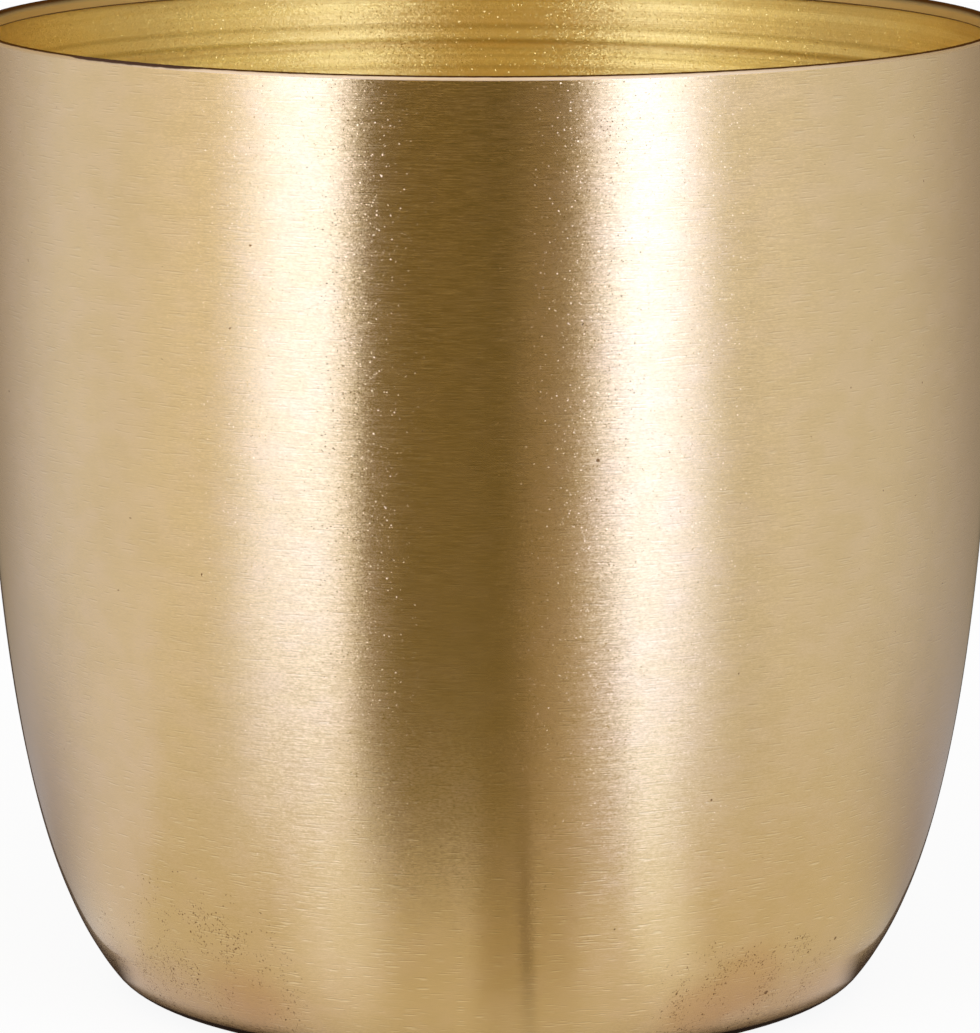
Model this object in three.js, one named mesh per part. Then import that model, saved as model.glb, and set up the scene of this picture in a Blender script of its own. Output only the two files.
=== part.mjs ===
// A brushed brass plant pot. Its shell is one sheet of metal, spun to shape: a flat foot with
// a shallow recess, a corner arc, a wall that rises in one curve, and a rim hemmed inwards.
// Four small pads are stuck in the recess, and the pot stands on them.
// Millimetres, +Z up. The origin is on the pot's axis, on the surface that it stands on.

import * as THREE from 'three';

// Shell
const RIM_RADIUS = 100; // outside of the wall, just under the rim
const BODY_HEIGHT = 189; // from the foot ring up to the top of the rim
const SHEET = 0.8; // thickness of the metal
const FOOT_RADIUS = 69.5; // where the flat foot ends and the corner arc begins
const BEND_RADIUS = 6.2; // inside of the corner arc
const CORNER_TILT_DEG = 38; // the wall's lean from upright where it meets the corner arc
const UPPER_PULL = 115; // length of the curve's handle that hangs straight down from the rim
const LOWER_PULL = 27.5; // length of its handle that leans up from the corner arc

// Hem at the rim, where the sheet is folded over onto the inside of the wall
const HEM_GAP = 0.3; // between the wall and the folded flap
const HEM_FLAP = 2; // straight length of the flap, below the fold

// Recess under the foot
const RING_WIDTH = 8; // flat ring between the recess and the corner arc
const RECESS_DEPTH = 2;
const RECESS_SLOPE_DEG = 45; // slope of the recess's side from level

// Pads
const PAD_COUNT = 4;
const PAD_RADIUS = 7;
const PAD_STANDOUT = 1; // how far the pads reach below the foot ring
const PAD_EDGE_RADIUS = 0.4; // rounding of a pad's lower edge
const PAD_CLEARANCE = 1.5; // from a pad's edge to the foot of the recess's side
const FIRST_PAD_DEG = 45; // direction of the first pad, from +X towards +Y

// Steps along each rounded stretch, and round the axis
const WALL_STEPS = 14;
const CORNER_STEPS = 5;
const ROLL_STEPS = 8;
const ROLL_INSIDE_STEPS = 4;
const SHELL_TURN_STEPS = 64;
const PAD_EDGE_STEPS = 3;
const PAD_TURN_STEPS = 32;

const brushedBrass = new THREE.MeshStandardMaterial({ color: 0xcba978, roughness: 0.32, metalness: 1 });
const darkRubber = new THREE.MeshStandardMaterial({ color: 0x2b2824, roughness: 0.85, metalness: 0 });

// Heights and radii that follow from the driving dimensions
const footLevel = PAD_STANDOUT;
const rimLevel = footLevel + BODY_HEIGHT;
const recessLevel = footLevel + RECESS_DEPTH;
const rollRadius = HEM_GAP / 2 + SHEET;
const cornerRadius = BEND_RADIUS + SHEET;
const slope = THREE.MathUtils.degToRad(RECESS_SLOPE_DEG);
const slopeFootRadius = FOOT_RADIUS - RING_WIDTH;
const recessRadius = slopeFootRadius - RECESS_DEPTH / Math.tan(slope);
const padCircleRadius = recessRadius - PAD_CLEARANCE - PAD_RADIUS;
const padThickness = RECESS_DEPTH + PAD_STANDOUT;

// A point of a profile: distance from the axis, height.
function point(radius, height) {
  return new THREE.Vector2(radius, height);
}

// Points on a round arc about (centreRadius, centreHeight). Angles are in radians, from the
// outward direction, turning upwards.
function arc(centreRadius, centreHeight, radius, from, to, steps) {
  const points = [];
  for (let i = 0; i <= steps; i += 1) {
    const angle = from + ((to - from) * i) / steps;
    points.push(point(centreRadius + radius * Math.cos(angle), centreHeight + radius * Math.sin(angle)));
  }
  return points;
}

// The side of the shell from the foot up to the rim's fold: the corner arc, then one Bezier
// curve. Depth is how far inside the sheet the line runs: 0 on the outer face and SHEET on
// the inner one, which lies square to the outer line all the way up.
function sideLine(depth) {
  const tilt = THREE.MathUtils.degToRad(CORNER_TILT_DEG);
  const cornerHeight = footLevel + cornerRadius;
  const start = point(FOOT_RADIUS + cornerRadius * Math.cos(tilt), cornerHeight - cornerRadius * Math.sin(tilt));
  const end = point(RIM_RADIUS, rimLevel - rollRadius);
  const startHandle = point(start.x + LOWER_PULL * Math.sin(tilt), start.y + LOWER_PULL * Math.cos(tilt));
  const endHandle = point(end.x, end.y - UPPER_PULL);
  const curve = new THREE.CubicBezierCurve(start, startHandle, endHandle, end);

  const points = arc(FOOT_RADIUS, cornerHeight, cornerRadius - depth, -Math.PI / 2, -tilt, CORNER_STEPS);
  for (let i = 1; i <= WALL_STEPS; i += 1) {
    const onCurve = curve.getPoint(i / WALL_STEPS);
    const along = curve.getTangent(i / WALL_STEPS);
    points.push(point(onCurve.x - along.y * depth, onCurve.y + along.x * depth));
  }
  return points;
}

// The fold over the top of the rim, down the flap, round its cut edge and back up the gap.
function hemLine() {
  const foldCentre = point(RIM_RADIUS - rollRadius, rimLevel - rollRadius);
  const flapEnd = foldCentre.y - HEM_FLAP;
  const outside = arc(foldCentre.x, foldCentre.y, rollRadius, 0, Math.PI, ROLL_STEPS);
  const inside = arc(foldCentre.x, foldCentre.y, HEM_GAP / 2, Math.PI, 0, ROLL_INSIDE_STEPS);
  return [
    ...outside.slice(1),
    point(foldCentre.x - rollRadius, flapEnd),
    point(foldCentre.x - HEM_GAP / 2, flapEnd),
    ...inside.slice(0, -1),
  ];
}

// The whole section of the sheet, from the axis under the foot, round the rim, to the axis on
// the floor inside. The recess's edges are mitred, so that the sheet keeps its thickness.
function shellProfile() {
  const mitre = SHEET * Math.tan(slope / 2);
  return [
    point(0, recessLevel),
    point(recessRadius, recessLevel),
    point(slopeFootRadius, footLevel),
    ...sideLine(0),
    ...hemLine(),
    ...sideLine(SHEET).reverse(),
    point(slopeFootRadius + mitre, footLevel + SHEET),
    point(recessRadius + mitre, recessLevel + SHEET),
    point(0, recessLevel + SHEET),
  ];
}

// A round pad with a softened lower edge, from the ground up to its flat top.
function padProfile() {
  const edgeCentre = PAD_RADIUS - PAD_EDGE_RADIUS;
  return [
    point(0, 0),
    ...arc(edgeCentre, PAD_EDGE_RADIUS, PAD_EDGE_RADIUS, -Math.PI / 2, 0, PAD_EDGE_STEPS),
    point(PAD_RADIUS, padThickness),
    point(0, padThickness),
  ];
}

// Turns a profile about the Z axis.
function turned(name, profile, steps, material) {
  const geometry = new THREE.LatheGeometry(profile, steps);
  geometry.rotateX(Math.PI / 2);
  const mesh = new THREE.Mesh(geometry, material);
  mesh.name = name;
  return mesh;
}

function makePads() {
  const pads = new THREE.Group();
  for (let i = 0; i < PAD_COUNT; i += 1) {
    const direction = THREE.MathUtils.degToRad(FIRST_PAD_DEG) + (i * 2 * Math.PI) / PAD_COUNT;
    const pad = turned(`foot_pad_${i + 1}`, padProfile(), PAD_TURN_STEPS, darkRubber);
    pad.position.set(padCircleRadius * Math.cos(direction), padCircleRadius * Math.sin(direction), 0);
    pads.add(pad);
  }
  return pads;
}

const pot = new THREE.Group();
pot.add(turned('pot_shell', shellProfile(), SHELL_TURN_STEPS, brushedBrass));
pot.add(makePads());

export default pot;
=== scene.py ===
"""A brushed brass plant pot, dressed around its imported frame.

Lengths are in metres and +Z is up. The origin is on the pot's axis, on the surface that it
stands on, and the photograph's camera looks along +Y and a little down.
"""

from __future__ import annotations

import logging
import math
from dataclasses import dataclass
from enum import Enum
from typing import Any

import bpy
import numpy as np
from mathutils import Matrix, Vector


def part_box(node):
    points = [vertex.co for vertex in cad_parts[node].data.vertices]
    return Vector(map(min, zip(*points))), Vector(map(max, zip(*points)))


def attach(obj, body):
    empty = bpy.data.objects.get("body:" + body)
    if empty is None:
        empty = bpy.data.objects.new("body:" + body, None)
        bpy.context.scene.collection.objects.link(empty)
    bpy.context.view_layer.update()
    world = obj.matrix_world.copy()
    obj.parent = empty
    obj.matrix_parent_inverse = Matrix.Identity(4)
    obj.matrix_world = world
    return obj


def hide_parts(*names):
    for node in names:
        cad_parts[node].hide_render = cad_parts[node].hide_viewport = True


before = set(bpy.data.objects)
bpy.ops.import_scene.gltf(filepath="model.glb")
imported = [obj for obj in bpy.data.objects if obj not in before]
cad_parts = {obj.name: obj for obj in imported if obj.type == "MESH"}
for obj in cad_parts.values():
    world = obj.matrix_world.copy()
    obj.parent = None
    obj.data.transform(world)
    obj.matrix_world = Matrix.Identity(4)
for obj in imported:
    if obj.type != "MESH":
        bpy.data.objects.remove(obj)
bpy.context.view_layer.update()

LOG = logging.getLogger("pot")
BODY = "root"
MM = 0.001
SPUN_RADIUS = 100 * MM  # of the ring that the spun attribute runs round
SHARP_ANGLE = math.radians(40)  # between two faces, past which their edge is shaded sharp
QUARTER_TURN = 0.25  # turns a highlight so that it is drawn out across the brush lines
BEYOND = 999.0  # an angle in degrees past every direction
Colour = tuple[float, float, float]
Scales = tuple[float, float, float]
WHITE: Colour = (1.0, 1.0, 1.0)


# Shader maths


class Wire:
    """One output socket of a node tree. Arithmetic on a wire adds Math nodes to its tree."""

    def __init__(self, graph: Graph, socket: bpy.types.NodeSocket | None) -> None:
        """Wraps an output socket of the graph's tree, or nothing for a node without outputs."""
        self.graph = graph
        self.socket = socket

    def __add__(self, other: Wire | float) -> Wire:
        """The sum of two values."""
        return self.graph.math("ADD", self, other)

    def __truediv__(self, other: Wire | float) -> Wire:
        """This value divided by another."""
        return self.graph.math("DIVIDE", self, other)

    def __sub__(self, other: Wire | float) -> Wire:
        """This value less another."""
        return self.graph.math("SUBTRACT", self, other)

    def __rsub__(self, other: float) -> Wire:
        """A number less this value."""
        return self.graph.math("SUBTRACT", other, self)

    def __mul__(self, other: Wire | float) -> Wire:
        """The product of two values."""
        return self.graph.math("MULTIPLY", self, other)

    def __pow__(self, other: Wire | float) -> Wire:
        """This value to a power."""
        return self.graph.math("POWER", self, other)

    def __abs__(self) -> Wire:
        """This value without its sign."""
        return self.graph.math("ABSOLUTE", self)

    def __neg__(self) -> Wire:
        """This value with its sign turned."""
        return self.graph.math("MULTIPLY", self, -1.0)

    __radd__ = __add__
    __rmul__ = __mul__


class Graph:
    """A node tree that is built from Python expressions."""

    def __init__(self, tree: bpy.types.NodeTree) -> None:
        """Takes over the tree of a material or of the world, and empties it."""
        self.tree = tree
        tree.nodes.clear()

    def node(self, kind: str, settings: dict[str, Any] | None = None,
             inputs: dict[str | int, Any] | None = None, output: str | int = 0) -> Wire:
        """Adds one node.

        Args:
            kind: The node's type.
            settings: The node's own properties.
            inputs: A value or a wire for each named or numbered input.
            output: The name or number of the output to return.

        Returns:
            The chosen output.
        """
        made = self.tree.nodes.new(kind)
        for name, value in (settings or {}).items():
            setattr(made, name, value)
        for name, value in (inputs or {}).items():
            if isinstance(value, Wire):
                self.tree.links.new(value.socket, made.inputs[name])
            else:
                made.inputs[name].default_value = value
        return Wire(self, made.outputs[output] if made.outputs else None)

    def math(self, operation: str, *values: Wire | float) -> Wire:
        """A Math node on one, two or three values."""
        return self.node("ShaderNodeMath", {"operation": operation}, dict(enumerate(values)))

    def mix(self, first: Wire | Colour, second: Wire | Colour, factor: Wire | float) -> Wire:
        """The first colour with a share of the second, given by the factor, mixed in."""
        sides = [c if isinstance(c, Wire) else (*c, 1.0) for c in (first, second)]
        return self.node("ShaderNodeMix", {"data_type": "RGBA"},
                         {0: factor, 6: sides[0], 7: sides[1]}, output=2)

    def stretched(self, vector: Wire, per_metre: Scales, shift: float = 0.0) -> Wire:
        """A vector with each axis multiplied, and then its third axis shifted."""
        return self.node("ShaderNodeMapping", {"vector_type": "POINT"}, {
            "Vector": vector, "Scale": per_metre, "Location": (0.0, 0.0, shift)})

    def vector(self, operation: str, *values: Wire | Colour, output: str = "Vector",
               **inputs: Wire | float) -> Wire:
        """A Vector Math node on one or two vectors."""
        return self.node("ShaderNodeVectorMath", {"operation": operation},
                         {**dict(enumerate(values)), **inputs}, output=output)

    def cells(self, vector: Wire) -> tuple[Wire, Wire]:
        """The distance from the middle of a random cell, and the cell's random vector."""
        distance = self.node("ShaderNodeTexVoronoi", {"feature": "F1"}, {"Vector": vector, "Scale": 1.0},
                             output="Distance")
        return distance, Wire(self, distance.socket.node.outputs["Color"])

    def tilted(self, *offsets: Wire) -> Wire:
        """Tilts the surface's normal.

        Args:
            offsets: Vectors that are added to it.

        Returns:
            The new normal, of length 1.
        """
        normal = self.node("ShaderNodeNewGeometry", output="Normal")
        for offset in offsets:
            normal = self.vector("ADD", normal, offset)
        return self.vector("NORMALIZE", normal)

    def parts(self, vector: Wire) -> list[Wire]:
        """The X, Y and Z of a vector."""
        split = self.node("ShaderNodeSeparateXYZ", inputs={"Vector": vector})
        return [Wire(self, socket) for socket in split.socket.node.outputs]

    def spinning(self) -> Wire:
        """The place along the spinning, from the mesh's attribute."""
        return self.node("ShaderNodeAttribute", {"attribute_name": "spun"}, output="Vector")

    def place(self) -> Wire:
        """The place in the object's own coordinates."""
        return self.node("ShaderNodeTexCoord", output="Object")

    def most(self, masks: list[Wire]) -> Wire:
        """The sum of masks, up to 1."""
        return self.math("MINIMUM", sum(masks[1:], masks[0]), 1.0)

    def ray(self, kind: str) -> Wire:
        """1 for rays of a kind."""
        return self.node("ShaderNodeLightPath", output=f"Is {kind} Ray")

    def output(self, kind: str, shader: Wire) -> None:
        """Ends the tree in an output node of a kind."""
        self.node(kind, inputs={"Surface": shader})

    def principled(self, inputs: dict[str | int, Any]) -> None:
        """Ends a material's tree in a Principled shader with these inputs."""
        self.output("ShaderNodeOutputMaterial", self.node("ShaderNodeBsdfPrincipled", inputs=inputs))


def new_material(name: str) -> tuple[bpy.types.Material, Graph]:
    """Makes a material with an empty tree.

    Args:
        name: The material's name.

    Returns:
        The material, and the graph that fills it.
    """
    material = bpy.data.materials.new(name)
    material.use_nodes = True
    return material, Graph(material.node_tree)


@dataclass(frozen=True)
class Fade:
    """A smooth change of level from start to end while a value goes from low to high."""

    low: Wire | float
    high: Wire | float
    start: float = 0.0
    end: float = 1.0

    def over(self, value: Wire) -> Wire:
        """The level at a value."""
        return value.graph.node("ShaderNodeMapRange", {"interpolation_type": "SMOOTHSTEP"}, {
            0: value, 1: self.low, 2: self.high, 3: self.start, 4: self.end})


@dataclass(frozen=True)
class Pattern:
    """Smooth noise from 0 to 1, with its features per metre along each axis of its vector."""

    per_metre: Scales
    detail: float = 1.0
    roughness: float = 0.5
    contrast: Fade | None = None

    def over(self, vector: Wire, shift: float = 0.0) -> Wire:
        """Lays the pattern.

        Args:
            vector: Where the pattern is laid, in metres.
            shift: How far it is shifted along its third axis, in features.

        Returns:
            The pattern's level.
        """
        graph = vector.graph
        level = graph.node("ShaderNodeTexNoise", {"noise_dimensions": "3D"}, {
            "Vector": graph.stretched(vector, self.per_metre, shift), "Scale": 1.0,
            "Detail": self.detail, "Roughness": self.roughness})
        return self.contrast.over(level) if self.contrast else level


@dataclass(frozen=True)
class Flakes:
    """Small cells whose normals lean at random, and lean far more in a few of them."""

    per_metre: float
    lean: float
    rare_lean: float
    rare: Fade = Fade(0.43, 0.57)

    def over(self, vector: Wire) -> Wire:
        """Lays the flakes.

        Args:
            vector: Where the flakes are laid, in metres.

        Returns:
            A vector to add to the normal.
        """
        graph = vector.graph
        _, chance = graph.cells(graph.stretched(vector, (self.per_metre,) * 3))
        offset = graph.vector("SUBTRACT", chance, (0.5, 0.5, 0.5))
        square = graph.vector("DOT_PRODUCT", offset, offset, output="Value")
        lean = self.rare.over(square) * self.rare_lean + self.lean
        return graph.vector("SCALE", offset, Scale=lean)


@dataclass(frozen=True)
class Layer:
    """A colour laid over another, how much of it shows, and how much more near the foot."""

    colour: Colour
    share: float
    low_share: float = 0.0

    def over(self, below: Wire, cover: Wire, low: Wire) -> Wire:
        """The colour below with the layer on it where the cover is 1."""
        return cover.graph.mix(below, self.colour, cover * (low * self.low_share + self.share))


# Surfaces turned about the axis


def arc_points(centre: tuple[float, float], radius: float, start: float, end: float,
               count: int) -> np.ndarray:
    """Points on a round arc of a profile.

    Each point is the centre plus the radius times (cos angle, sin angle), with the angle
    taken in even steps from the outward direction upwards.

    Args:
        centre: Distance from the axis and height.
        radius: The arc's radius.
        start: First angle in radians.
        end: Last angle in radians.
        count: Number of points.

    Returns:
        An array of (radius, height) rows.
    """
    angle = np.linspace(start, end, count)
    return np.stack([centre[0] + radius * np.cos(angle), centre[1] + radius * np.sin(angle)], axis=1)


def line_points(start: tuple[float, float], end: tuple[float, float], count: int) -> np.ndarray:
    """Evenly spaced points on a straight stretch of a profile."""
    return np.linspace(start, end, count)


def bezier_points(handles: np.ndarray, count: int) -> tuple[np.ndarray, np.ndarray]:
    """Points and outward normals on a cubic Bezier curve of a profile.

    The point at t is the handles' sum, weighted (1-t)^3, 3t(1-t)^2, 3t^2(1-t) and t^3. The
    normal is the direction of travel turned a quarter to the right.

    Args:
        handles: Four (radius, height) rows.
        count: Number of points.

    Returns:
        The points, and the unit normals.
    """
    t = np.linspace(0.0, 1.0, count)[:, None]
    weights = np.hstack([(1 - t) ** 3, 3 * t * (1 - t) ** 2, 3 * t ** 2 * (1 - t), t ** 3])
    slopes = np.hstack([(1 - t) ** 2, 2 * t * (1 - t), t ** 2])
    along = slopes @ np.diff(handles, axis=0)
    along /= np.linalg.norm(along, axis=1, keepdims=True)
    return weights @ handles, np.stack([along[:, 1], -along[:, 0]], axis=1)


@dataclass(frozen=True)
class Stretch:
    """One stretch of a turned profile, with the finish of the surface that it sweeps."""

    points: np.ndarray
    finish: int


@dataclass(frozen=True)
class TurnedSurface:
    """A closed surface turned about the Z axis from stretches that start and end on the axis."""

    stretches: list[Stretch]
    steps: int

    def profile(self) -> tuple[np.ndarray, np.ndarray]:
        """Joins the stretches.

        Returns:
            The profile's (radius, height) rows without repeats, and the finish of each gap
            between neighbouring rows.
        """
        points = [self.stretches[0].points]
        finishes = [np.full(len(self.stretches[0].points) - 1, self.stretches[0].finish)]
        for stretch in self.stretches[1:]:
            points.append(stretch.points[1:])
            finishes.append(np.full(len(stretch.points) - 1, stretch.finish))
        return np.concatenate(points), np.concatenate(finishes)

    def mesh(self, name: str, offset: np.ndarray | None = None,
             centre: tuple[float, float] = (0.0, 0.0)) -> bpy.types.Mesh:
        """Turns the profile into a mesh.

        The point for profile row i and turn angle a is (r cos a, r sin a, z), moved along
        the profile's normal by the offset there. Rows on the axis become single points. An
        attribute named spun holds (cos a, sin a) times SPUN_RADIUS, and the length along the
        profile, so that a pattern can follow the spinning.

        Args:
            name: The mesh's name.
            offset: Height of the surface's relief, one row per profile row between the two
                on the axis and one column per turn step.
            centre: Where the axis stands.

        Returns:
            The mesh, with a material index on each face.
        """
        rows, finishes = self.profile()
        travel = np.concatenate([[0.0], np.cumsum(np.linalg.norm(np.diff(rows, axis=0), axis=1))])
        angle = np.arange(self.steps) * (2 * math.pi / self.steps)
        inner = rows[1:-1]
        along = rows[2:] - rows[:-2]
        along /= np.linalg.norm(along, axis=1, keepdims=True)
        relief = np.zeros((len(inner), self.steps)) if offset is None else offset
        radius = inner[:, :1] + along[:, 1:] * relief
        height = inner[:, 1:] - along[:, :1] * relief
        ring = np.stack([radius * np.cos(angle) + centre[0], radius * np.sin(angle) + centre[1],
                         height], axis=2).reshape(-1, 3)
        poles = np.array([[*centre, rows[0, 1]], [*centre, rows[-1, 1]]])
        spun_ring = np.stack(np.broadcast_arrays(
            SPUN_RADIUS * np.cos(angle), SPUN_RADIUS * np.sin(angle), travel[1:-1, None]), axis=2)
        spun_poles = np.array([[0.0, 0.0, travel[0]], [0.0, 0.0, travel[-1]]])

        count = len(inner)
        here = np.arange(count * self.steps).reshape(count, self.steps)
        after = np.roll(here, -1, axis=1)
        quads = np.stack([here[:-1], after[:-1], after[1:], here[1:]], axis=2).reshape(-1, 4)
        first, last = count * self.steps, count * self.steps + 1
        low_fan = np.stack([np.full(self.steps, first), after[0], here[0]], axis=1)
        high_fan = np.stack([np.full(self.steps, last), here[-1], after[-1]], axis=1)
        faces = MeshFaces(quads, np.concatenate([low_fan, high_fan]))
        slots = np.concatenate([np.repeat(finishes[1:-1], self.steps),
                                np.full(self.steps, finishes[0]), np.full(self.steps, finishes[-1])])
        mesh = faces.build(name, np.concatenate([ring, poles]))
        mesh.polygons.foreach_set("material_index", slots.astype(np.int32))
        spun = mesh.attributes.new("spun", "FLOAT_VECTOR", "POINT")
        spun.data.foreach_set("vector", np.concatenate(
            [spun_ring.reshape(-1, 3), spun_poles]).astype(np.float32).ravel())
        mesh.set_sharp_from_angle(angle=SHARP_ANGLE)
        return mesh


@dataclass(frozen=True)
class MeshFaces:
    """The faces of a mesh as rows of vertex numbers."""

    quads: np.ndarray
    triangles: np.ndarray

    def build(self, name: str, vertices: np.ndarray) -> bpy.types.Mesh:
        """Makes a smooth-shaded mesh.

        Args:
            name: The mesh's name.
            vertices: One row of coordinates per vertex.

        Returns:
            The mesh, with its quads before its triangles.
        """
        mesh = bpy.data.meshes.new(name)
        corners = np.concatenate([self.quads.ravel(), self.triangles.ravel()]).astype(np.int32)
        sizes = np.concatenate([np.full(len(self.quads), 4), np.full(len(self.triangles), 3)])
        starts = np.concatenate([[0], np.cumsum(sizes)[:-1]]).astype(np.int32)
        mesh.vertices.add(len(vertices))
        mesh.vertices.foreach_set("co", vertices.astype(np.float32).ravel())
        mesh.loops.add(len(corners))
        mesh.loops.foreach_set("vertex_index", corners)
        mesh.polygons.add(len(sizes))
        mesh.polygons.foreach_set("loop_start", starts)
        mesh.polygons.foreach_set("use_smooth", np.ones(len(sizes), bool))
        mesh.update(calc_edges=True)
        mesh.validate()
        return mesh


def place_piece(mesh: bpy.types.Mesh, materials: list[bpy.types.Material], node: str) -> bpy.types.Object:
    """Puts a mesh into the scene in place of a CAD node.

    Args:
        mesh: The piece's mesh, in the frame's own coordinates.
        materials: Its materials, in the order of the faces' indices.
        node: The CAD node that it stands for.

    Returns:
        The piece.
    """
    piece = bpy.data.objects.new(mesh.name, mesh)
    bpy.context.scene.collection.objects.link(piece)
    for material in materials:
        mesh.materials.append(material)
    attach(piece, BODY)
    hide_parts(node)
    LOG.info("%s stands for %s: %d faces", piece.name, node, len(mesh.polygons))
    return piece


# Finishes


@dataclass(frozen=True)
class Mark:
    """A place on the wall, as a direction round the pot, a height and how far it reaches."""

    azimuth: float
    height: float
    wall_radius: float
    reach: float
    core: float = 0.3

    def mask(self, place: Wire, ragged: Wire | float = 0.0) -> Wire:
        """How much of the mark lies at a place.

        Args:
            place: The place on the pot.
            ragged: A length that is added to the distance from the mark's middle.

        Returns:
            1 inside the core's share of the reach, fading to 0 at the reach.
        """
        turn = math.radians(self.azimuth)
        middle = (self.wall_radius * math.sin(turn), -self.wall_radius * math.cos(turn), self.height)
        away = place.graph.vector("DISTANCE", place, middle, output="Value")
        return Fade(self.core * self.reach, self.reach, 1.0, 0.0).over(away + ragged)


@dataclass(frozen=True)
class BrushedBrass:
    """Brass brushed round the pot, so that light is drawn out across the brush lines.

    Fine lines, scratches and grain lighten and darken the metal, and sparks of it catch the
    light. Specks, pits and patches of tarnish lie where the photograph shows them. A thin
    clear lacquer covers all but the pits.
    """

    name: str = "brushed_brass"
    colour: Colour = (0.90, 0.66, 0.37)
    dull_colour: Colour = (0.70, 0.50, 0.25)
    least_bright: float = 0.12
    pink: Layer = Layer((0.84, 0.61, 0.38), 0.45)
    dark: Layer = Layer((0.52, 0.35, 0.17), 0.33, 0.12)
    light: Layer = Layer((1.0, 0.80, 0.52), 0.3, 0.45)
    tarnish: Layer = Layer((0.70, 0.40, 0.16), 0.42)
    low_down: Fade = Fade(25 * MM, 70 * MM, 1.0, 0.0)
    lines: Pattern = Pattern((220.0, 220.0, 4800.0))
    line_contrast: Fade = Fade(0.25, 0.75)
    line_share: float = 0.12
    line_lean: float = 0.16
    grain: Pattern = Pattern((1300.0, 1300.0, 3600.0), contrast=Fade(0.3, 0.7))
    grain_share: float = 0.08
    grain_lean: float = 0.12
    cloud: Pattern = Pattern((60.0, 60.0, 90.0), 3.0, 0.6)
    cloud_share: float = 0.48
    blush: Pattern = Pattern((130.0, 130.0, 200.0), contrast=Fade(0.35, 0.75))
    scratches: Pattern = Pattern((240.0, 240.0, 4000.0), 0.0, contrast=Fade(0.66, 0.8))
    light_shift: float = 0.8
    flakes: Flakes = Flakes(4400.0, 0.03, 0.16)
    roughness: float = 0.245
    roughness_spread: float = 0.05
    stretch: float = 1.0
    lacquer_roughness: float = 0.015
    lacquer_index: float = 1.4
    lacquer_lost: float = 0.9
    foot_shade_colour: Colour = (0.035, 0.018, 0.008)
    foot_shade_start: Fade = Fade(1.1 * MM, 1.4 * MM)
    foot_shade_end: Fade = Fade(3.0 * MM, 3.5 * MM, 1.0, 0.0)
    pit_colour: Colour = (0.17, 0.066, 0.008)
    pit_depth: float = 0.01 * MM
    pits_per_metre: float = 2000.0
    pit_edge: Fade = Fade(0.06, 0.23, 1.0, 0.0)
    pit_size_spread: float = 0.3
    pit_raggedness: float = 0.9
    rags: Pattern = Pattern((3500.0, 3500.0, 3500.0))
    bends_per_metre: float = 1500.0
    bend: float = 0.0011
    faintest_pit: float = 0.3
    clusters: Pattern = Pattern((140.0, 140.0, 140.0), 3.0, contrast=Fade(0.42, 0.66))
    cluster_share: float = 0.8
    stray_share: float = 0.001
    speck_share: float = 0.8
    pitted: tuple[Mark, ...] = (
        Mark(-40.0, 16 * MM, 82 * MM, 25 * MM, 0.45), Mark(-56.0, 8 * MM, 78 * MM, 22 * MM, 0.4),
        Mark(33.0, 12 * MM, 80 * MM, 18 * MM, 0.4), Mark(45.0, 13 * MM, 82 * MM, 14 * MM, 0.4))
    tarnished: tuple[Mark, ...] = (
        Mark(37.5, 15 * MM, 82 * MM, 11 * MM, 0.35), Mark(30.0, 9 * MM, 79 * MM, 11 * MM, 0.3),
        Mark(-34.0, 11 * MM, 80 * MM, 13 * MM, 0.2))
    tarnish_raggedness: float = 6 * MM
    specks: tuple[Mark, ...] = (
        Mark(11.6, 120.0 * MM, 98.7 * MM, 0.45 * MM, 0.5), Mark(52.4, 19.5 * MM, 83.8 * MM, 0.5 * MM, 0.5),
        Mark(41.4, 11.1 * MM, 79.9 * MM, 0.6 * MM, 0.5), Mark(26.5, 53.9 * MM, 92.7 * MM, 0.3 * MM, 0.5))

    def material(self) -> bpy.types.Material:
        """Builds the material.

        Returns:
            The material.
        """
        material, graph = new_material(self.name)
        place = graph.place()
        spun = graph.spinning()
        lines = self.lines.over(spun)
        streak = self.line_contrast.over(lines)
        grain = self.grain.over(spun)
        pits = self.pits(place, spun)
        _, _, z = graph.parts(place)
        bright = streak * self.line_share + grain * self.grain_share
        base = graph.mix(self.metal(place, spun, bright), self.pit_colour, pits)
        # Painted shade: a near-black band low on the corner arc stands in for the contact shadow that the
        # metal mirrors there.
        foot = self.foot_shade_start.over(z) * self.foot_shade_end.over(z)
        base = graph.mix(base, self.foot_shade_colour, foot)
        lean = (lines - 0.5) * self.line_lean + (grain - 0.5) * self.grain_lean
        upwards = graph.node("ShaderNodeCombineXYZ", inputs={"Z": lean})
        bump = graph.node("ShaderNodeBump", inputs={
            "Strength": 1.0, "Distance": self.pit_depth, "Height": -pits,
            "Normal": graph.tilted(self.flakes.over(spun), upwards)})
        graph.principled({
            "Base Color": base, "Metallic": 1.0, "Normal": bump,
            "Roughness": self.roughness + (streak - 0.5) * self.roughness_spread,
            "Anisotropic": self.stretch, "Anisotropic Rotation": QUARTER_TURN,
            "Coat Weight": 1.0 - pits * self.lacquer_lost,
            "Coat Roughness": self.lacquer_roughness, "Coat IOR": self.lacquer_index})
        return material

    def metal(self, place: Wire, spun: Wire, bright: Wire) -> Wire:
        """The metal's colour without its pits and the painted shade along the edge of its foot.

        Args:
            place: The place on the pot.
            spun: The place along the spinning.
            bright: How much the lines and the grain lighten it.

        Returns:
            The colour.
        """
        graph = place.graph
        _, _, z = graph.parts(place)
        low = self.low_down.over(z)
        cloud = self.cloud.over(spun)
        bright = bright + cloud * self.cloud_share + self.least_bright
        ragged = (cloud - 0.5) * self.tarnish_raggedness
        covers = ((self.pink, self.blush.over(spun)),
                  (self.dark, self.scratches.over(spun)),
                  (self.light, self.scratches.over(spun, self.light_shift)),
                  (self.tarnish, graph.most([mark.mask(place, ragged) for mark in self.tarnished])))
        colour = graph.mix(self.dull_colour, self.colour, bright)
        for layer, cover in covers:
            colour = layer.over(colour, cover, low)
        return colour

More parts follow.
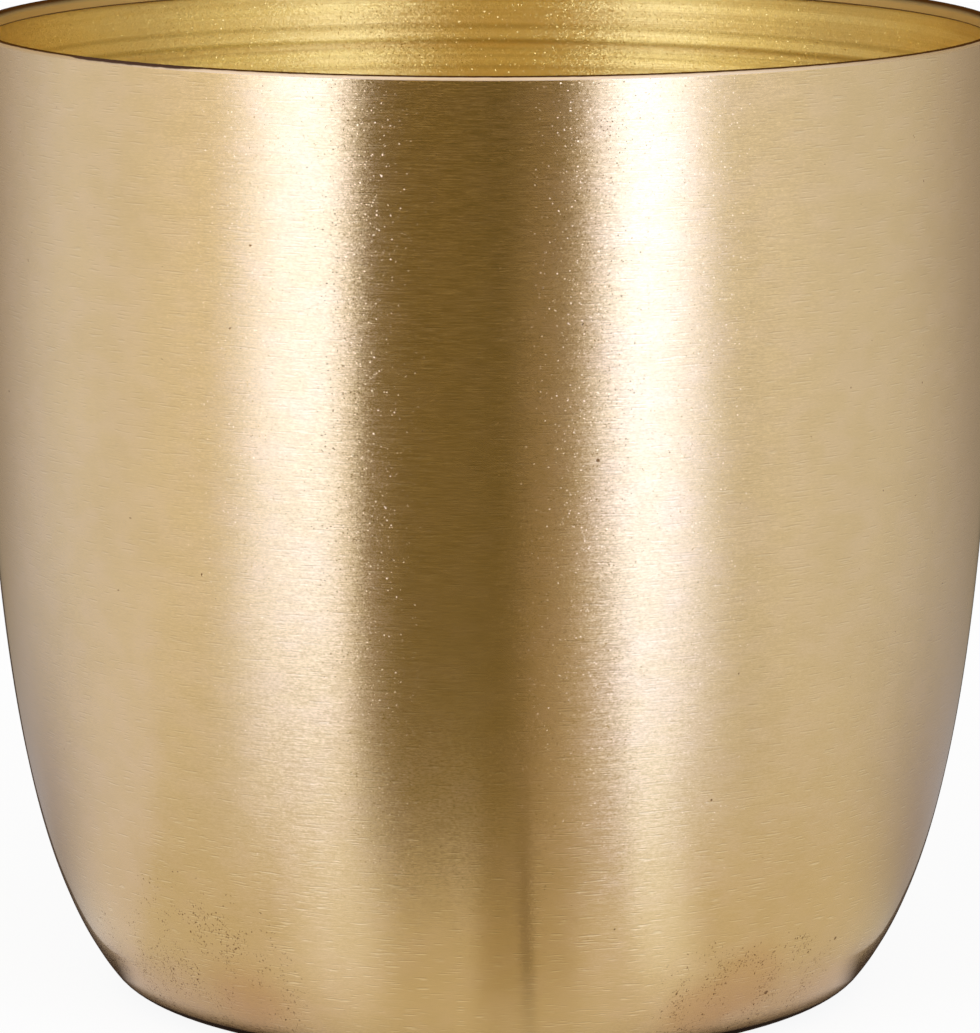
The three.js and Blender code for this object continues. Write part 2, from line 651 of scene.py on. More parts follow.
    def pits(self, place: Wire, spun: Wire) -> Wire:
        """Where small dark pits and lone specks lie.

        Args:
            place: The place on the pot.
            spun: The place along the spinning.

        Returns:
            1 in a pit.
        """
        graph = place.graph
        bends = graph.node("ShaderNodeTexNoise", {"noise_dimensions": "3D"}, {
            "Vector": spun, "Scale": self.bends_per_metre, "Detail": 1.0}, output="Color")
        bent = graph.vector("ADD", spun, graph.vector("SCALE", bends, Scale=self.bend))
        distance, chance = graph.cells(graph.stretched(bent, (self.pits_per_metre,) * 3))
        presence, size, depth = graph.parts(chance)
        crowded = graph.most([mark.mask(place) for mark in self.pitted])
        share = crowded * self.clusters.over(spun) * self.cluster_share + self.stray_share
        present = graph.math("LESS_THAN", presence, share)
        rags = (self.rags.over(spun) - 0.5) * self.pit_raggedness
        spot = self.pit_edge.over(distance + rags - size * self.pit_size_spread)
        spot = present * spot * (depth * (1.0 - self.faintest_pit) + self.faintest_pit)
        return graph.most([spot] + [mark.mask(place) * self.speck_share for mark in self.specks])


@dataclass(frozen=True)
class RimBrass:
    """The rolled edge of the rim, which the brush hasn't reached: pale on its outer side, with a painted
    dark line of shade along its crest that widens towards the back and at one place in front."""

    name: str = "rim_brass"
    colour: Colour = (0.66, 0.50, 0.33)
    side_light_colour: Colour = (0.66, 0.49, 0.30)
    crest_shade_colour: Colour = (0.060, 0.022, 0.004)
    widened_shade_colour: Colour = (0.060, 0.030, 0.018)
    flap_colour: Colour = (0.66, 0.48, 0.20)
    roughness: float = 0.45
    roughness_spread: float = 0.1
    grain: Pattern = Pattern((500.0, 500.0, 2500.0), 2.0)
    crest_shade_reach: float = 0.60 * MM
    reach_at_widening: float = 0.22 * MM
    shade_reach_behind: float = 0.5 * MM
    raggedness: float = 0.12 * MM
    crest_edge: Fade = Fade(-0.07 * MM, 0.07 * MM, 1.0, 0.0)
    crest_rise: Fade = Fade(188.4 * MM, 189.7 * MM)
    flap_edge: Fade = Fade(-0.9 * MM, -0.6 * MM, 1.0, 0.0)
    front_to_side: Fade = Fade(-0.9, -0.55)
    side_to_back: Fade = Fade(-0.2, 0.2)
    shade_widening: Mark = Mark(-41.0, 189.6 * MM, 99.6 * MM, 19 * MM, 0.6)

    def material(self, crest_radius: float) -> bpy.types.Material:
        """Builds the material.

        Args:
            crest_radius: The radius of the roll's crest.

        Returns:
            The material.
        """
        material, graph = new_material(self.name)
        place = graph.place()
        grain = self.grain.over(graph.spinning())
        x, y, z = graph.parts(place)
        radius = (x * x + y * y) ** 0.5
        outwards = radius - crest_radius
        # Painted light: the roll's outer side takes a slightly different tint from front to side, as the
        # light falls on it.
        aside = self.front_to_side.over(y / radius)
        behind = self.side_to_back.over(y / radius)
        widened_shade = self.shade_widening.mask(place)
        reach = widened_shade * self.reach_at_widening + behind * self.shade_reach_behind + self.crest_shade_reach
        reach = reach + (grain - 0.5) * self.raggedness
        # Painted shade: a dark line along the roll's crest, wider towards the back and at one place in
        # front, stands in for the shade where the roll meets the inside.
        crest = self.crest_edge.over(outwards - reach) * self.crest_rise.over(z)
        flap = self.flap_edge.over(outwards)
        dark = graph.mix(self.crest_shade_colour, self.widened_shade_colour, widened_shade)
        base = graph.mix(graph.mix(self.colour, self.side_light_colour, aside), self.flap_colour, flap)
        base = graph.mix(base, dark, crest)
        graph.principled({
            "Base Color": base, "Metallic": 1.0 - crest, "Specular IOR Level": 0.0,
            "Roughness": self.roughness + grain * self.roughness_spread})
        return material


@dataclass(frozen=True)
class CutEdgeAndGapShade:
    """The dark cut edge of the sheet at the end of the hem, and painted shade in the gap behind it, which
    takes the same dark colour.
    """

    name: str = "cut_edge_and_gap_shade"
    colour: Colour = (0.16, 0.09, 0.035)
    worn_colour: Colour = (0.26, 0.16, 0.07)
    worn_share: float = 0.5
    metallic: float = 0.6
    roughness: float = 0.5
    roughness_spread: float = 0.2
    grain: Pattern = Pattern((900.0, 900.0, 900.0), 2.0)

    def material(self) -> bpy.types.Material:
        """Builds the material.

        Returns:
            The material.
        """
        material, graph = new_material(self.name)
        grain = self.grain.over(graph.spinning())
        graph.principled({
            "Base Color": graph.mix(self.colour, self.worn_colour, grain * self.worn_share),
            "Metallic": self.metallic, "Roughness": self.roughness + grain * self.roughness_spread})
        return material


@dataclass(frozen=True)
class Ring:
    """A ring round the pot at one height, which fades out above and below it."""

    height: float
    half_width: float
    strength: float

    def mask(self, height: Wire) -> Wire:
        """How much the ring covers a height."""
        return Fade(0.0, self.half_width, self.strength, 0.0).over(abs(height - self.height))


@dataclass(frozen=True)
class SatinBrass:
    """The satin inside, yellower than the brushed outside, with fine rings and a sparkle."""

    name: str = "satin_brass"
    colour: Colour = (0.97, 0.75, 0.29)
    dull_colour: Colour = (0.86, 0.64, 0.19)
    groove_colour: Colour = (0.56, 0.38, 0.085)
    roughness: float = 0.44
    stretch: float = 0.9
    relief: float = 0.06 * MM
    rings: Pattern = Pattern((12.0, 12.0, 1500.0), 3.0, 0.6)
    ring_contrast: Fade = Fade(0.3, 0.7)
    ring_share: float = 0.4
    grain: Pattern = Pattern((2400.0, 2400.0, 2400.0), contrast=Fade(0.3, 0.7))
    grain_share: float = 0.25
    rim_light_rise: Fade = Fade(170 * MM, 181 * MM)
    rim_light_share: float = 0.35
    flakes: Flakes = Flakes(4200.0, 0.16, 0.35)
    grooves: tuple[Ring, ...] = (
        Ring(176.15 * MM, 1.0 * MM, 1.0), Ring(179.15 * MM, 0.9 * MM, 0.6),
        Ring(174.3 * MM, 0.7 * MM, 0.35), Ring(173.0 * MM, 0.6 * MM, 0.3),
        Ring(170.7 * MM, 0.9 * MM, 0.5))
    groove_slant: float = 0.007
    groove_drift: float = 0.5 * MM
    drift: Pattern = Pattern((14.0, 14.0, 14.0))
    faintest_groove: float = 0.6

    def material(self) -> bpy.types.Material:
        """Builds the material.

        Returns:
            The material.
        """
        material, graph = new_material(self.name)
        place = graph.place()
        spun = graph.spinning()
        x, _, z = graph.parts(place)
        rings = self.rings.over(spun)
        drift = (self.drift.over(place) - 0.5) * self.groove_drift
        height = z + x * self.groove_slant + drift
        tone = self.ring_contrast.over(rings) * self.ring_share
        tone = tone + self.grain.over(spun) * self.grain_share
        # Painted light: the inside is made lighter towards the rim, where more light falls on it.
        tone = tone + self.rim_light_rise.over(height) * self.rim_light_share
        groove = graph.most([ring.mask(height) for ring in self.grooves])
        groove = groove * (tone * (1.0 - self.faintest_groove) + self.faintest_groove)
        base = graph.mix(self.dull_colour, self.colour, tone)
        base = graph.mix(base, self.groove_colour, groove)
        bump = graph.node("ShaderNodeBump", inputs={
            "Strength": 1.0, "Distance": self.relief, "Height": rings,
            "Normal": graph.tilted(self.flakes.over(spun))})
        graph.principled({
            "Base Color": base, "Metallic": 1.0, "Roughness": self.roughness, "Normal": bump,
            "Anisotropic": self.stretch, "Anisotropic Rotation": QUARTER_TURN})
        return material


@dataclass(frozen=True)
class PadRubber:
    """Matt dark rubber of the foot pads."""

    name: str = "pad_rubber"
    colour: Colour = (0.028, 0.026, 0.024)
    worn_colour: Colour = (0.07, 0.066, 0.06)
    roughness: float = 0.75
    roughness_spread: float = 0.2
    relief: float = 0.05 * MM
    relief_strength: float = 0.5
    grain: Pattern = Pattern((2500.0, 2500.0, 2500.0), 3.0, 0.7)
    cloud: Pattern = Pattern((300.0, 300.0, 300.0), 2.0)

    def material(self) -> bpy.types.Material:
        """Builds the material.

        Returns:
            The material.
        """
        material, graph = new_material(self.name)
        place = graph.place()
        grain = self.grain.over(place)
        base = graph.mix(self.colour, self.worn_colour, grain * self.cloud.over(place))
        bump = graph.node("ShaderNodeBump", inputs={
            "Strength": self.relief_strength, "Distance": self.relief, "Height": grain})
        graph.principled({
            "Base Color": base, "Normal": bump,
            "Roughness": self.roughness + grain * self.roughness_spread})
        return material


# The pot's pieces


class ShellFinish(Enum):
    """Which finish a stretch of the shell has."""

    BRUSHED = 0
    SATIN = 1
    ROLLED = 2
    CUT = 3


@dataclass(frozen=True)
class PotShell:
    """The pot itself: one sheet of metal with a flat foot, a rising wall and a hemmed rim.

    The rim's radius, the foot's level and the rim's level come from the CAD node.
    """

    node: str = "pot_shell"
    sheet: float = 0.8 * MM
    foot_radius: float = 69.5 * MM
    bend_radius: float = 6.2 * MM
    corner_tilt: float = math.radians(38)
    upper_pull: float = 115 * MM
    lower_pull: float = 27.5 * MM
    hem_gap: float = 0.3 * MM
    hem_flap: float = 2 * MM
    ring_width: float = 8 * MM
    recess_depth: float = 2 * MM
    edge_radius: float = 0.3 * MM
    brushed_turn: float = math.radians(10)
    ring_height: float = 0.03 * MM
    ring_wavelengths: tuple[float, float] = (2.4 * MM, 7.0 * MM)
    ring_waves: int = 7
    ring_seed: int = 12
    ring_drift: float = 1.2
    ring_sway: float = 0.6
    ring_fading: float = 0.25
    rim_fade: float = 6 * MM
    foot_fade: float = 40 * MM
    steps: int = 128
    corner_rows: int = 14
    recess_rows: int = 13
    floor_rows: int = 25
    roll_rows: int = 25
    edge_rows: int = 7
    flap_rows: int = 8
    foot_rows: int = 6
    short_rows: int = 4
    wall_rows: int = 110
    inside_rows: int = 480

    def side(self, depth: float, count: int) -> np.ndarray:
        """The side's line from the foot up to the rim's fold.

        It is the corner arc and then one Bezier curve, moved square to itself into the sheet.

        Args:
            depth: How far inside the sheet the line runs.
            count: Number of points on the Bezier curve.

        Returns:
            The (radius, height) rows.
        """
        low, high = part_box(self.node)
        corner = self.bend_radius + self.sheet
        roll = self.hem_gap / 2 + self.sheet
        tilt = self.corner_tilt
        centre = (self.foot_radius, low.z + corner)
        start = np.array([centre[0] + corner * math.cos(tilt), centre[1] - corner * math.sin(tilt)])
        end = np.array([high.x, high.z - roll])
        handles = np.array([start, start + self.lower_pull * np.array([math.sin(tilt), math.cos(tilt)]),
                            end - np.array([0.0, self.upper_pull]), end])
        curve, normals = bezier_points(handles, count)
        bend = arc_points(centre, corner - depth, -math.pi / 2, -tilt, self.corner_rows)
        return np.concatenate([bend, (curve - normals * depth)[1:]])

    def base(self, rise: float) -> np.ndarray:
        """The foot's line from the axis to the corner arc.

        The recess's side is half a cosine wave, from the recess down to the foot ring.

        Args:
            rise: How far above the underside the line runs.

        Returns:
            The (radius, height) rows.
        """
        low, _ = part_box(self.node)
        side_end = self.foot_radius - self.ring_width
        side_start = side_end - self.recess_depth
        share = np.linspace(0.0, 1.0, self.recess_rows)
        side = np.stack([side_start + share * self.recess_depth,
                         low.z + rise + self.recess_depth * (1 + np.cos(math.pi * share)) / 2], axis=1)
        centre = line_points((0.0, side[0, 1]), tuple(side[0]), self.floor_rows)
        ring = line_points(tuple(side[-1]), (self.foot_radius, low.z + rise), self.foot_rows)
        return np.concatenate([centre[:-1], side, ring[1:]])

    def hem(self) -> list[Stretch]:
        """The fold over the rim, the flap, its cut edge and the gap behind it.

        Returns:
            The stretches, from the outside of the wall to its inside.
        """
        _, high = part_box(self.node)
        roll = self.hem_gap / 2 + self.sheet
        edge = self.edge_radius
        centre = (high.x - roll, high.z - roll)
        flap_end = centre[1] - self.hem_flap
        brushed = arc_points(centre, roll, 0.0, self.brushed_turn, self.short_rows)
        over = arc_points(centre, roll, self.brushed_turn, math.pi, self.roll_rows)
        flap = line_points(tuple(over[-1]), (centre[0] - roll, flap_end + edge), self.flap_rows)
        rounding = arc_points((centre[0] - roll + edge, flap_end + edge), edge, -math.pi, -math.pi / 2,
                              self.edge_rows)
        gap = centre[0] - self.hem_gap / 2
        cut = line_points(tuple(rounding[-1]), (gap, flap_end), self.short_rows)
        up = line_points(tuple(cut[-1]), (gap, centre[1]), self.short_rows)
        under = arc_points(centre, self.hem_gap / 2, math.pi, 0.0, self.edge_rows)
        # The gap's faces take the cut edge's dark colour: painted shade inside the fold.
        dark = np.concatenate([rounding, cut[1:], up[1:], under[1:]])
        return [Stretch(brushed, ShellFinish.BRUSHED.value), Stretch(over, ShellFinish.ROLLED.value),
                Stretch(flap, ShellFinish.ROLLED.value), Stretch(dark, ShellFinish.CUT.value)]

    def surface(self) -> TurnedSurface:
        """Joins the shell's lines into one closed surface.

        Returns:
            The surface, from the axis under the foot to the axis on the floor.
        """
        inside = np.concatenate([self.side(self.sheet, self.inside_rows)[::-1],
                                 self.base(self.sheet)[::-1][1:]])
        outside = np.concatenate([self.base(0.0), self.side(0.0, self.wall_rows)[1:]])
        return TurnedSurface([Stretch(outside, ShellFinish.BRUSHED.value), *self.hem(),
                              Stretch(inside, ShellFinish.SATIN.value)], self.steps)

    def relief(self, surface: TurnedSurface) -> np.ndarray:
        """The soft rings that the spinning tool left on the inside of the wall.

        The height is a sum of cosines of the length along the profile, whose phases drift a
        little round the pot. It fades out at the rim and at the bottom.

        Args:
            surface: The turned surface.

        Returns:
            A height for each profile row between the two on the axis and each turn step.
        """
        rows, finishes = surface.profile()
        travel = np.cumsum(np.linalg.norm(np.diff(rows, axis=0), axis=1))[:-1, None]
        angle = (np.arange(self.steps) * (2 * math.pi / self.steps))[None, :]
        chance = np.random.default_rng(self.ring_seed)
        total = np.zeros((len(travel), self.steps))
        for wavelength in np.linspace(*self.ring_wavelengths, self.ring_waves):
            first, drift, swing, fade = chance.uniform(0.0, 2 * math.pi, 4)
            phase = first + self.ring_drift * np.sin(angle + drift)
            phase = phase + self.ring_sway * np.sin(2 * angle + swing)
            strength = 1 - self.ring_fading + self.ring_fading * np.sin(angle + fade)
            total += strength * np.cos(2 * math.pi * travel / wavelength + phase)
        inside = (finishes[1:] == ShellFinish.SATIN.value) & (finishes[:-1] == ShellFinish.SATIN.value)
        height = rows[1:-1, 1]
        low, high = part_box(self.node)
        level = np.clip((high.z - height) / self.rim_fade, 0.0, 1.0)
        level = level * np.clip((height - low.z) / self.foot_fade, 0.0, 1.0)
        return total * (self.ring_height * inside * level)[:, None]

    def build(self) -> bpy.types.Object:
        """Builds the shell and dresses it.

        Returns:
            The shell.
        """
        surface = self.surface()
        mesh = surface.mesh("brass_shell", self.relief(surface))
        _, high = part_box(self.node)
        crest = high.x - self.hem_gap / 2 - self.sheet
        materials = [BrushedBrass().material(), SatinBrass().material(), RimBrass().material(crest),
                     CutEdgeAndGapShade().material()]
        return place_piece(mesh, materials, self.node)


@dataclass(frozen=True)
class FootPads:
    """The round rubber pads stuck into the recess under the foot."""

    count: int = 4
    edge_radius: float = 0.4 * MM
    steps: int = 64
    flat_rows: int = 8
    edge_rows: int = 7

    def build(self) -> list[bpy.types.Object]:
        """Builds one pad for each of its CAD nodes, in the node's own box."""
        rubber = PadRubber().material()
        return [self.pad(index + 1, rubber) for index in range(self.count)]

    def pad(self, number: int, rubber: bpy.types.Material) -> bpy.types.Object:
        """Builds one pad.

        Args:
            number: The pad's number, which its CAD node's name ends with.
            rubber: The pads' material.

        Returns:
            The pad.
        """
        node = f"foot_pad_{number}"
        low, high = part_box(node)
        radius = (high.x - low.x) / 2
        edge = self.edge_radius
        rows = np.concatenate([
            line_points((0.0, low.z), (radius - edge, low.z), self.flat_rows),
            arc_points((radius - edge, low.z + edge), edge, -math.pi / 2, 0.0, self.edge_rows)[1:],
            line_points((radius, low.z + edge), (radius, high.z), self.flat_rows)[1:],
            line_points((radius, high.z), (0.0, high.z), self.flat_rows)[1:]])
        turned = TurnedSurface([Stretch(rows, 0)], self.steps)
        mesh = turned.mesh(f"rubber_pad_{number}", centre=((low.x + high.x) / 2, (low.y + high.y) / 2))
        return place_piece(mesh, [rubber], node)


# Studio


@dataclass(frozen=True)
class Sector:
    """A range of directions round the pot and the tone that the room shows there.

    Angles are in degrees from the camera's side towards +X. Each edge has its own blur,
    which is half the width that the tone takes to come in.
    """

    start: float
    end: float
    start_blur: float
    end_blur: float
    colour: Colour

    def over(self, azimuth: Wire, below: Wire | Colour) -> Wire:
        """Lays the sector's tone over another.

        Args:
            azimuth: The direction.
            below: The colour outside the sector.

        Returns:
            The colour with the sector on it.
        """
        rise = Fade(self.start - self.start_blur, self.start + self.start_blur)
        fall = Fade(self.end - self.end_blur, self.end + self.end_blur, 1.0, 0.0)
        return azimuth.graph.mix(below, self.colour, rise.over(azimuth) * fall.over(azimuth))


@dataclass(frozen=True)
class Room:
    """The tones of the room round the pot: pale walls, a dark front and two tall softboxes.

    Each softbox has a warm halo and a cool core. The shade is the darkest part of the front,
    and the back is dark too. On the floor lie a pale seam in front of the pot, a pool of light
    before each softbox, and a dim hood on one side of the front.
    """

    left_wall: Colour = (0.77, 0.785, 0.82)
    sectors: tuple[Sector, ...] = (
        Sector(-93.0, 0.0, 8.0, 1.0, (0.73, 0.75, 0.80)),
        Sector(0.0, BEYOND, 10.0, 1.0, (0.70, 0.71, 0.68)),
        Sector(-BEYOND, -124.0, 1.0, 26.0, (0.33, 0.265, 0.185)),
        Sector(121.0, BEYOND, 34.0, 1.0, (0.31, 0.245, 0.165)),
        Sector(-36.2, 29.0, 2.0, 2.0, (0.155, 0.117, 0.040)),
        Sector(-36.2, -20.0, 2.0, 5.0, (0.27, 0.207, 0.096)),
        Sector(7.0, 29.0, 5.0, 2.0, (0.36, 0.285, 0.165)),
        Sector(-90.0, -25.8, 25.0, 1.5, (0.80, 0.78, 0.70)),
        Sector(21.4, 90.0, 11.0, 25.0, (0.75, 0.76, 0.74)),
        Sector(-52.0, -30.7, 10.0, 4.3, (1.45, 1.64, 2.3)),
        Sector(25.0, 45.0, 7.5, 9.5, (1.58, 1.83, 2.75)))
    shade: tuple[Sector, ...] = (
        Sector(-29.2, 19.0, 4.0, 5.0, (0.072, 0.050, 0.012)),
        Sector(-4.0, 17.0, 8.0, 6.0, (0.02, 0.014, 0.003)))
    seam: tuple[Sector, ...] = (
        Sector(-1.0, 15.5, 3.0, 4.0, (0.53, 0.45, 0.28)),
        Sector(-1.0, 7.4, 3.0, 1.8, (0.46, 0.375, 0.21)),
        Sector(5.4, 7.4, 0.7, 0.7, (0.28, 0.22, 0.12)))
    pools: tuple[Sector, ...] = (
        Sector(-33.0, -17.5, 7.0, 5.0, (0.81, 0.79, 0.69)),
        Sector(25.0, 36.0, 3.5, 4.0, (0.86, 0.86, 0.76)))
    hood: tuple[Sector, ...] = (Sector(12.5, 25.5, 3.0, 4.0, (0.46, 0.385, 0.26)),)
    back: tuple[Sector, ...] = (
        Sector(-BEYOND, -157.0, 1.0, 13.0, (0.04, 0.025, 0.018)),
        Sector(159.0, BEYOND, 12.0, 1.0, (0.04, 0.025, 0.018)))

    def azimuth(self, x: Wire, y: Wire) -> Wire:
        """The direction of a point or a way in degrees from the camera's side towards +X."""
        return x.graph.math("ARCTAN2", x, -y) * math.degrees(1.0)

    def tone(self, azimuth: Wire) -> Wire:
        """The room's colour in a direction, without its dark back and its shade."""
        return self.laid(self.sectors, azimuth, self.left_wall)

    def laid(self, sectors: tuple[Sector, ...], azimuth: Wire, colour: Wire | Colour) -> Wire:
        """Lays sectors over a colour.

        Args:
            sectors: The sectors, from the lowest to the top one.
            azimuth: The direction.
            colour: The colour below.

        Returns:
            The colour with the sectors on it.
        """
        for sector in sectors:
            colour = sector.over(azimuth, colour)
        return colour

    def over(self, sectors: tuple[Sector, ...], azimuth: Wire, colour: Wire,
             share: Wire | float = 1.0) -> Wire:
        """Sectors laid over a colour, wholly or in part."""
        return azimuth.graph.mix(colour, self.laid(sectors, azimuth, colour), share)


@dataclass(frozen=True)
class FloorInMetal:
    """What the metal sees of the floor, from the pot's foot out to the tones of the room.

    Fades named for a reach go by the distance from the pot's axis, and those named for a
    side or a box go by the direction in degrees.
    """

    room: Room = Room()
    plain: Colour = (0.66, 0.595, 0.425)
    at_left: Colour = (0.72, 0.67, 0.61)
    left_side: Fade = Fade(-74.0, -66.0, 1.0, 0.0)
    at_back: Colour = (0.35, 0.295, 0.25)
    back_left_side: Fade = Fade(-118.0, -80.0, 1.0, 0.0)
    back_right_side: Fade = Fade(70.0, 115.0)
    seam_reach: Fade = Fade(0.078, 0.108, 0.2, 1.0)
    at_foot: Colour = (0.585, 0.495, 0.445)
    foot_share: float = 0.9
    foot_reach: Fade = Fade(0.080, 0.098, 1.0, 0.0)
    foot_side: Fade = Fade(15.0, 40.0)
    tint: Colour = (1.04, 1.10, 1.28)
    tint_reach: Fade = Fade(0.12, 0.19)
    room_from: float = 0.105
    room_to: float = 0.42
    room_to_less_side: Fade = Fade(15.0, 35.0, 0.21, 0.0)
    hood_reach: Fade = Fade(0.11, 0.16)
    hood_far_reach: Fade = Fade(0.26, 0.42, 0.85, 0.0)
    box_inner_side: Fade = Fade(18.0, 28.0)
    box_outer_side: Fade = Fade(52.0, 64.0, 1.0, 0.0)
    dim_reach: Fade = Fade(0.15, 0.22)
    dim_far_reach: Fade = Fade(0.5, 0.85, 0.12, 0.0)
    shade_reach: Fade = Fade(0.85, 1.35)
    shadow: Colour = (0.04, 0.025, 0.018)
    shadow_slope: Fade = Fade(-0.01, 0.01, 0.25, 0.20)
    shadow_half_width: Fade = Fade(0.0, 0.05, 0.0865, 0.0895)
    shadow_edge: Fade = Fade(0.0, 0.0015, 1.0, 0.0)
    shadow_start: Fade = Fade(-0.03, -0.01)
    shadow_end: Fade = Fade(0.25, 0.6, 1.0, 0.0)
    contact_reach: Fade = Fade(0.0745, 0.0775, 1.0, 0.0)

    def colour(self, x: Wire, y: Wire) -> Wire:
        """The floor's colour as metal sees it.

        Args:
            x: The place's X on the floor.
            y: The place's Y on the floor.

        Returns:
            The colour.
        """
        graph = x.graph
        radius = (x * x + y * y) ** 0.5
        azimuth = self.room.azimuth(x, y)
        turned = abs(azimuth)
        room_to = self.room_to - self.room_to_less_side.over(turned)
        far = Fade(self.room_from, room_to).over(radius)
        seen = graph.mix(self.near(radius, azimuth), self.room.tone(azimuth), far)
        hooded = self.hood_reach.over(radius) * self.hood_far_reach.over(radius)
        seen = self.room.over(self.room.hood, azimuth, seen, hooded)
        boxes = self.box_inner_side.over(turned) * self.box_outer_side.over(turned)
        dimmed = boxes * self.dim_reach.over(radius) * self.dim_far_reach.over(radius)
        seen = graph.vector("SCALE", seen, Scale=1.0 - dimmed)
        seen = self.room.over(self.room.shade, azimuth, seen, self.shade_reach.over(radius))
        seen = self.room.over(self.room.back, azimuth, seen)
        return graph.mix(seen, self.shadow, self.shadowed(x, y, radius))

    def near(self, radius: Wire, azimuth: Wire) -> Wire:
        """The floor's colour close to the pot.

        Args:
            radius: The distance from the pot's axis.
            azimuth: The direction.

        Returns:
            The colour.
        """
        graph = radius.graph
        turned = abs(azimuth)
        near = graph.mix(self.plain, self.at_left, self.left_side.over(azimuth))
        behind = graph.math("MAXIMUM", self.back_left_side.over(azimuth),
                            self.back_right_side.over(azimuth))
        near = graph.mix(near, self.at_back, behind)
        near = self.room.over(self.room.seam + self.room.pools, azimuth, near,
                              self.seam_reach.over(radius))
        foot = self.foot_reach.over(radius) * self.foot_side.over(turned)
        near = graph.mix(near, self.at_foot, foot * self.foot_share)
        tint = graph.mix(WHITE, self.tint, self.tint_reach.over(radius))
        return graph.vector("MULTIPLY", near, tint)

    def shadowed(self, x: Wire, y: Wire, radius: Wire) -> Wire:
        """Where the pot's shadow lies: under it, and in a strip behind it that slowly widens.

        Low on the wall the metal mirrors the strip's edges, as a thin dark line at its outline.

        Args:
            x: The place's X on the floor.
            y: The place's Y on the floor.
            radius: The distance from the pot's axis.

        Returns:
            1 in the shadow.
        """
        beside = abs(x) - y * self.shadow_slope.over(x)
        beside = beside - self.shadow_half_width.over(y)
        strip = self.shadow_edge.over(beside) * self.shadow_start.over(y)
        strip = strip * self.shadow_end.over(y)
        return x.graph.math("MAXIMUM", strip, self.contact_reach.over(radius))


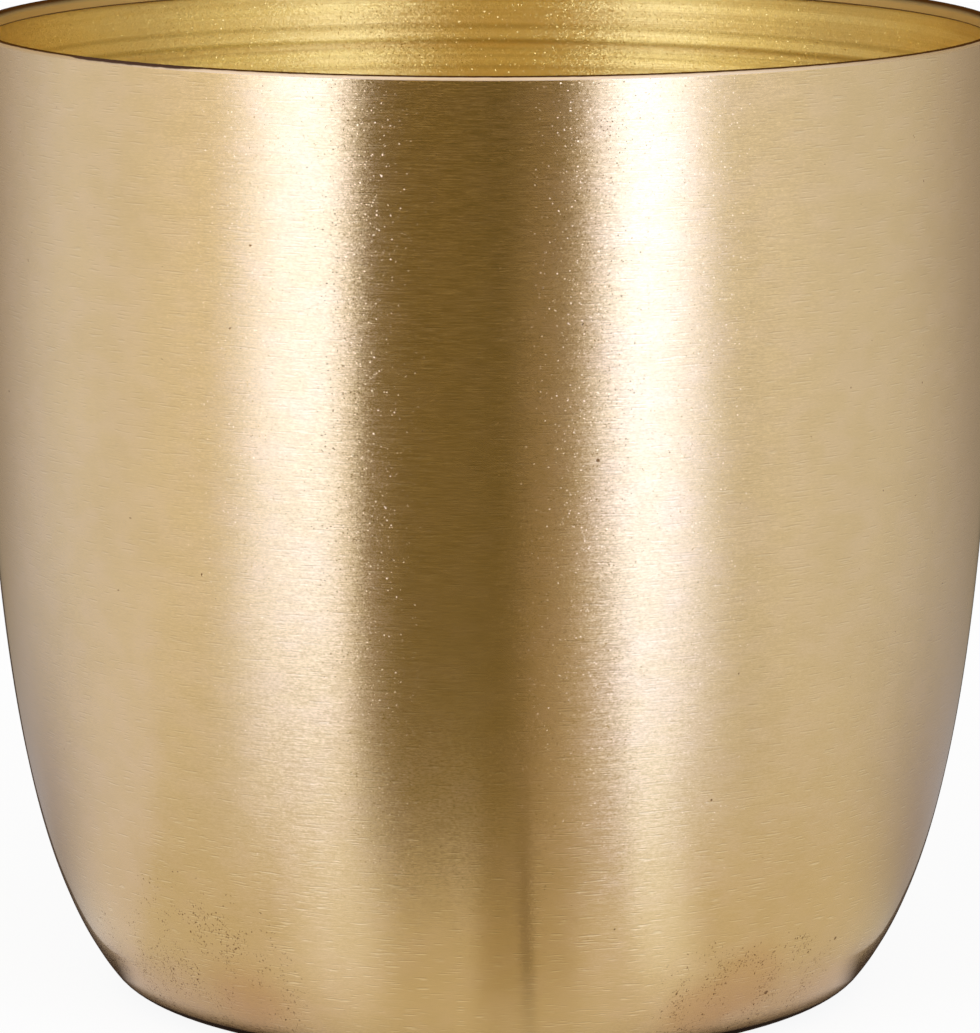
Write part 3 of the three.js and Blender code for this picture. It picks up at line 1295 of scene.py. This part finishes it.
@dataclass(frozen=True)
class Studio:
    """The pale floor, the room's light and the photograph's camera.

    Fades named for a rise go by the upward part of a ray's direction, and those named for a
    side go by its azimuth in degrees.
    """

    room: Room = Room()
    floor_in_metal: FloorInMetal = FloorInMetal()
    camera_distance: float = 1.2
    camera_pitch: float = math.radians(10.296)
    aim_height: float = 92.13 * MM
    focal_length: float = 211.97
    sensor_width: float = 36.0
    shift_pixels: float = 2.07
    photo_pixels_high: float = 1033.0
    clip_start: float = 0.05
    clip_end: float = 60.0
    floor_half: float = 8.0
    floor_colour: Colour = (0.8, 0.8, 0.8)
    floor_glow: float = 0.92
    shade_rise: Fade = Fade(0.2, 0.5, 1.0, 0.6)
    front_above: Colour = (0.72, 0.57, 0.27)
    front_side: Fade = Fade(22.0, 34.0, 1.0, 0.0)
    front_rise: Fade = Fade(0.34, 0.6)
    light_side: Fade = Fade(62.0, 92.0, 1.0, 0.2)
    light_rise: Fade = Fade(0.05, 0.3)
    gleam_side: Fade = Fade(-150.0, -115.0, 0.45, 0.0)
    warm_back: Colour = (0.95, 0.85, 0.55)
    warm_side: Fade = Fade(90.0, 130.0)
    overhead_light: Colour = (1.1, 1.1, 1.1)
    overhead_rise: Fade = Fade(0.75, 0.95)

    def build(self) -> None:
        """Builds the whole studio."""
        self.floor()
        self.surroundings()
        self.camera()

    def camera(self) -> None:
        """Adds the camera at the photograph's place."""
        data = bpy.data.cameras.new("photo_camera")
        data.sensor_width = self.sensor_width
        data.lens = self.focal_length
        data.shift_x = self.shift_pixels / self.photo_pixels_high
        data.clip_start = self.clip_start
        data.clip_end = self.clip_end
        camera = bpy.data.objects.new("photo_camera", data)
        bpy.context.scene.collection.objects.link(camera)
        back = Vector((0.0, -math.cos(self.camera_pitch), math.sin(self.camera_pitch)))
        camera.location = Vector((0.0, 0.0, self.aim_height)) + back * self.camera_distance
        camera.rotation_euler = (-back).to_track_quat("-Z", "Y").to_euler()
        bpy.context.scene.camera = camera

    def floor(self) -> None:
        """Adds the floor: white to the camera, with the pot's shadow, and toned to metal."""
        half = self.floor_half
        corners = np.array([[-half, -half, 0.0], [half, -half, 0.0], [half, half, 0.0], [-half, half, 0.0]])
        mesh = MeshFaces(np.array([[0, 1, 2, 3]]), np.zeros((0, 3), int)).build("floor", corners)
        floor = bpy.data.objects.new("floor", mesh)
        bpy.context.scene.collection.objects.link(floor)
        material, graph = new_material("floor")
        x, y, _ = graph.parts(graph.place())
        mirrored = graph.ray("Glossy")
        colour = graph.mix(WHITE, self.floor_in_metal.colour(x, y), mirrored)
        paper = graph.node("ShaderNodeBsdfDiffuse", inputs={"Color": (*self.floor_colour, 1.0)})
        glow = graph.node("ShaderNodeEmission", inputs={"Color": colour, "Strength": 1.0})
        shader = graph.node("ShaderNodeMixShader", inputs={
            0: (graph.ray("Camera") + graph.ray("Transmission")) * self.floor_glow + mirrored,
            1: paper, 2: glow})
        graph.output("ShaderNodeOutputMaterial", shader)
        mesh.materials.append(material)

    def surroundings(self) -> None:
        """Sets the world: white to the camera, and the room with a pale ceiling for the rest."""
        world = bpy.data.worlds.new("room")
        bpy.context.scene.world = world
        world.use_nodes = True
        graph = Graph(world.node_tree)
        x, y, z = graph.parts(graph.node("ShaderNodeTexCoord", output="Generated"))
        azimuth = self.room.azimuth(x, y)
        turned = abs(azimuth)
        room = self.room.tone(azimuth)
        room = self.room.over(self.room.shade, azimuth, room, self.shade_rise.over(z))
        front = self.front_side.over(turned) * self.front_rise.over(z)
        room = graph.mix(room, self.front_above, front)
        room = self.room.over(self.room.back, azimuth, room)
        lift = self.light_rise.over(z)
        gleam = lift * self.light_side.over(turned) + self.gleam_side.over(azimuth)
        room = graph.vector("SCALE", room, Scale=gleam + 1.0)
        warm = graph.mix(WHITE, self.warm_back, lift * self.warm_side.over(turned))
        room = graph.vector("MULTIPLY", room, warm)
        room = graph.mix(room, self.overhead_light, self.overhead_rise.over(z))
        shown = graph.mix(room, WHITE, graph.ray("Camera") + graph.ray("Transmission"))
        graph.output("ShaderNodeOutputWorld", graph.node("ShaderNodeBackground", inputs={"Color": shown}))


def main() -> None:
    """Builds the pot and its studio."""
    logging.basicConfig(level=logging.INFO, format="%(name)s: %(message)s")
    bpy.context.scene.view_settings.view_transform = "Standard"
    PotShell().build()
    FootPads().build()
    Studio().build()


if __name__ == "__main__":
    main()
